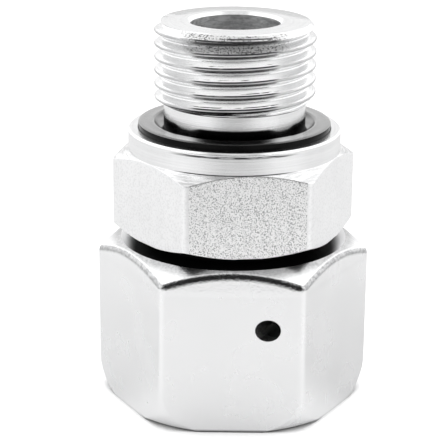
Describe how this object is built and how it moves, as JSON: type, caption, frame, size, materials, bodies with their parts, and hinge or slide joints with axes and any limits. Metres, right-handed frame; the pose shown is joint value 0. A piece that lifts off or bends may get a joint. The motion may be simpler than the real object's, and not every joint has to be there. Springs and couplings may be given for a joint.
{
  "type": "swivel stud fitting",
  "caption": "Straight hydraulic stud fitting: threaded stud with a captive face seal, hexagon body and a freely turning swivel nut over a cone nose.",
  "frame": {"origin": "centre of the swivel nut's open end, on the flow axis", "axes": "+Z along the flow axis, from the nut's open end to the stud's end; one nut flat, with the wire's feed hole, faces -Y"},
  "size_m": [0.0308, 0.027, 0.0435],
  "materials": {
    "body_steel": "bright zinc plate over turned steel, granular on the hexagon flats",
    "nut_steel": "bright zinc plate over a drawn and chamfered hexagon",
    "wire_steel": "drawn spring steel wire",
    "seal_rubber": "smooth moulded black rubber, semi-gloss",
    "ring_rubber": "smooth moulded black rubber"
  },
  "bodies": {
    "fitting_body": {"stud_body": "body_steel", "captive_seal": "seal_rubber", "retaining_wire": "wire_steel", "cone_o_ring": "ring_rubber"},
    "nut": {"swivel_nut": "nut_steel"}
  },
  "joints": [
    {"name": "nut_swivel", "type": "hinge", "parent": "fitting_body", "child": "nut", "pos_m": [0, 0, 0.01207], "axis": [0, 0, 1], "continuous": true}
  ]
}
